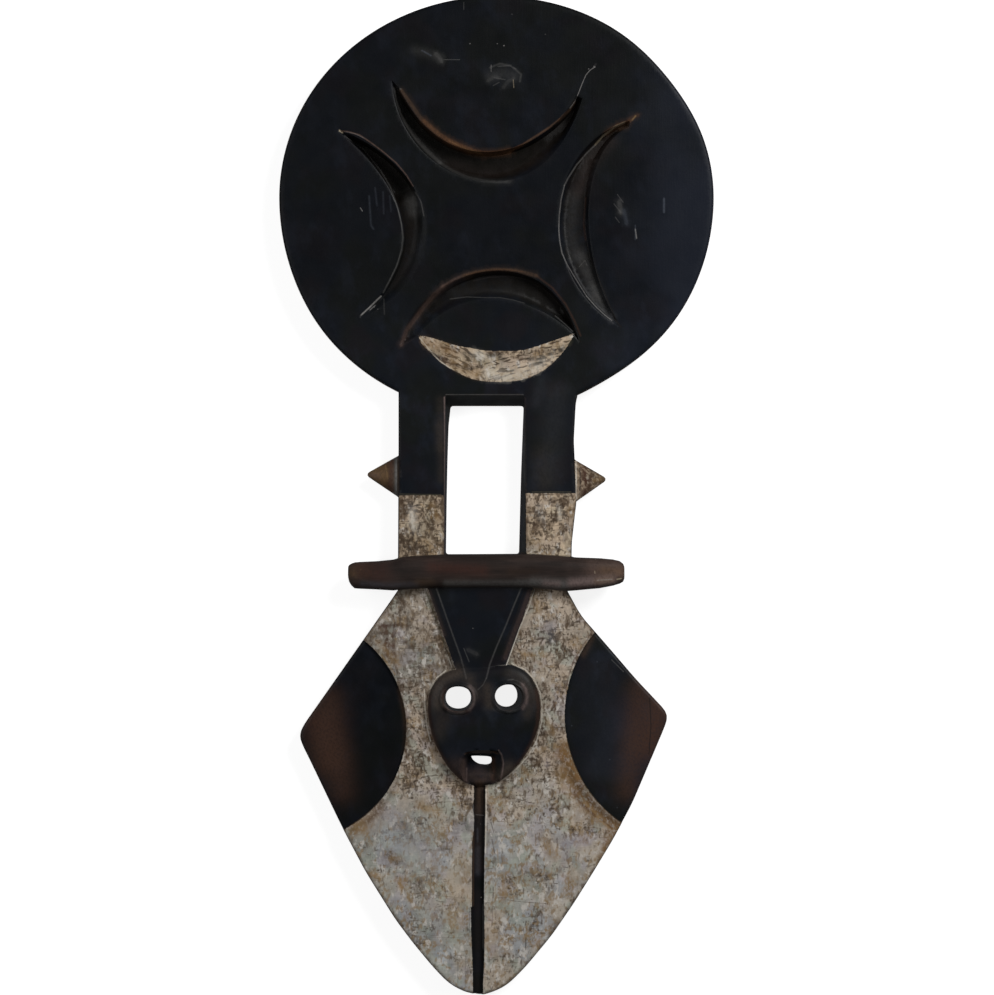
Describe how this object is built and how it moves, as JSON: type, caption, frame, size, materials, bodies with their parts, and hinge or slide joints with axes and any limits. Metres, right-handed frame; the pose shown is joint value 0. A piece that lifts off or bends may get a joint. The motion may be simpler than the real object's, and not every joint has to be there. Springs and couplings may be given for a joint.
{
  "type": "plank mask",
  "caption": "Tall carved wooden plank mask: a round disc with crescent hollows above, legs round a window, a cross bar, and a diamond plate with a small raised face.",
  "frame": {"origin": "middle of the outline, on the back plane", "axes": "+Y from the face plate's tip to the disc, +X to the right seen from the front, +Z out of the carved front; the mask lies on its back"},
  "size_m": [0.6521, 1.5, 0.07],
  "materials": {
    "painted_wood": "worn black, white and brown paint on carved wood, satin"
  },
  "bodies": {
    "root": {"mask": "painted_wood"}
  },
  "joints": []
}
